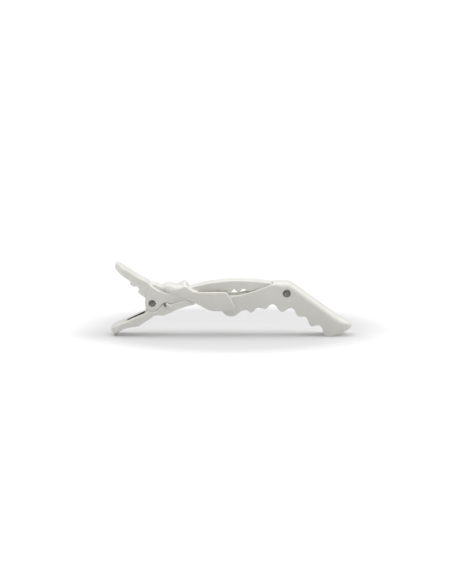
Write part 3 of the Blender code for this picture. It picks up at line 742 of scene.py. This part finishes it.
def dark_steel(name, turned):
    """Dark steel with fine marks: rings round the axis on turned parts, a fine grain on drawn wire."""
    made, tree, shader = new_material(name)
    vector = coordinates(tree, (1, 1, 1))
    dark, light = (0.03, 0.03, 0.03), (0.07, 0.07, 0.07)
    if turned:
        dark, light = (0.175, 0.171, 0.158), (0.28, 0.274, 0.252)
    colour = ramp(tree, noise(tree, vector, 900, 4), 0.35, 0.65, dark, light)
    tree.links.new(colour, shader.inputs["Base Color"])
    shader.inputs["Metallic"].default_value = 0.9
    tree.links.new(spread(tree, noise(tree, vector, 2400, 3), 0.28, 0.46), shader.inputs["Roughness"])
    if turned:
        rings = add(tree, "ShaderNodeTexWave", Scale=2600.0, Distortion=1.5, Detail=2.0)
        rings.wave_type = "RINGS"
        rings.rings_direction = "Y"
        tree.links.new(vector, rings.inputs["Vector"])
        height = rings.outputs["Fac"]
    else:
        height = noise(tree, vector, 6000, 3)
    bump(tree, shader, height, 0.15, 0.00003)
    return made


def pale_floor():
    """White paper sweep with a painted shadow: its colour turns greyer where the clip stands."""
    made, tree, shader = new_material("pale_floor")
    place = tree.nodes.new("ShaderNodeTexCoord")
    mapping = tree.nodes.new("ShaderNodeMapping")
    mapping.inputs["Location"].default_value = (0.0, -0.16, 0.0)
    mapping.inputs["Scale"].default_value = (1 / PAINTED_SHADE_PATCH[0], 1 / PAINTED_SHADE_PATCH[1], 0.0)
    tree.links.new(place.outputs["Object"], mapping.inputs["Vector"])
    painted_shade_patch = tree.nodes.new("ShaderNodeTexGradient")
    painted_shade_patch.gradient_type = "SPHERICAL"
    tree.links.new(mapping.outputs["Vector"], painted_shade_patch.inputs["Vector"])
    # painted shade: the floor colour darkens towards the clip, standing in for its soft shadow and halo
    colour = ramp(tree, painted_shade_patch.outputs["Fac"], 0.25, 0.47, (0.87, 0.87, 0.87), (0.62, 0.62, 0.625))
    tree.links.new(colour, shader.inputs["Base Color"])
    shader.inputs["Roughness"].default_value = 0.7
    return made


# ---------------------------------------------------------------------------------------------- studio


def make_floor():
    shape = bmesh.new()
    reach = 15.0
    cells = 12
    bmesh.ops.create_grid(shape, x_segments=cells, y_segments=cells, size=reach)
    mesh = bpy.data.meshes.new("studio_floor")
    shape.to_mesh(mesh)
    shape.free()
    floor = bpy.data.objects.new("studio_floor", mesh)
    bpy.context.scene.collection.objects.link(floor)
    mesh.materials.append(pale_floor())
    floor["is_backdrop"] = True


def make_camera():
    tilt = math.radians(VIEW_ELEVATION)
    data = bpy.data.cameras.new("camera")
    data.sensor_width = SENSOR
    data.lens = SENSOR * VIEW_DISTANCE / VIEW_HEIGHT
    data.clip_start = 0.05
    data.clip_end = 60
    camera = bpy.data.objects.new("camera", data)
    away = Vector((0, -math.cos(tilt), math.sin(tilt))) * VIEW_DISTANCE
    camera.location = (Vector(VIEW_CENTRE) + away) * MM
    camera.rotation_euler = (math.pi / 2 - tilt, 0, 0)
    bpy.context.scene.collection.objects.link(camera)
    bpy.context.scene.camera = camera


def make_lights():
    scene = bpy.context.scene
    scene.view_settings.view_transform = "Standard"
    world = bpy.data.worlds.new("studio")
    world.use_nodes = True
    world.node_tree.nodes["Background"].inputs["Color"].default_value = (1.0, 1.0, 1.0, 1)
    world.node_tree.nodes["Background"].inputs["Strength"].default_value = 0.165
    scene.world = world
    softbox("overhead_softbox", 1.93, 105, (-8, 0))
    softbox("overhead_fill", 1.05, 60, (0, 0)).use_shadow = False
    softbox("right_softbox", 0.8, 60, (0, 50))
    softbox("left_softbox", 0.25, 60, (0, -60))


def softbox(name, energy, spread_angle, tilt):
    """A wide soft light. tilt is how far it leans about X and about Y from straight down, in degrees."""
    light = bpy.data.lights.new(name, "SUN")
    light.energy = energy
    light.angle = math.radians(spread_angle)
    lamp = bpy.data.objects.new(name, light)
    lamp.rotation_euler = (math.radians(tilt[0]), math.radians(tilt[1]), 0)
    bpy.context.scene.collection.objects.link(lamp)
    return light


# ---------------------------------------------------------------------------------------------- assembly


def place(piece, body, node, slot, finish):
    piece.data.materials.append(finish)
    if body:
        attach(piece, body)
    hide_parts(node)


def main():
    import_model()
    cad_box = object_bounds()
    make_camera()
    make_lights()
    make_floor()
    plastic = white_plastic()
    turned_steel = dark_steel("turned_steel", True)
    wire_steel = dark_steel("wire_steel", False)
    place(make_upper_lever(), "upper_body", "upper_lever", "white_plastic", plastic)
    place(make_lower_lever(), "lower_body", "lower_lever", "white_plastic", plastic)
    place(make_snout(), "snout_body", "snout_jaw", "white_plastic", plastic)
    main_pin = make_pin("main_rivet", MAIN_PIVOT, MAIN_HEAD_RADIUS, EAR_HALF)
    place(main_pin, "lower_body", "main_pivot_pin", "dark_steel", turned_steel)
    front_pin = make_pin("front_rivet", FRONT_PIVOT, FRONT_HEAD_RADIUS, SNOUT_HALF)
    place(front_pin, "upper_body", "front_pivot_pin", "dark_steel", turned_steel)
    spring, half = make_spring()
    place(spring, None, "torsion_spring", "dark_steel", wire_steel)
    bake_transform(spring)
    return cad_box


cad_box = main()
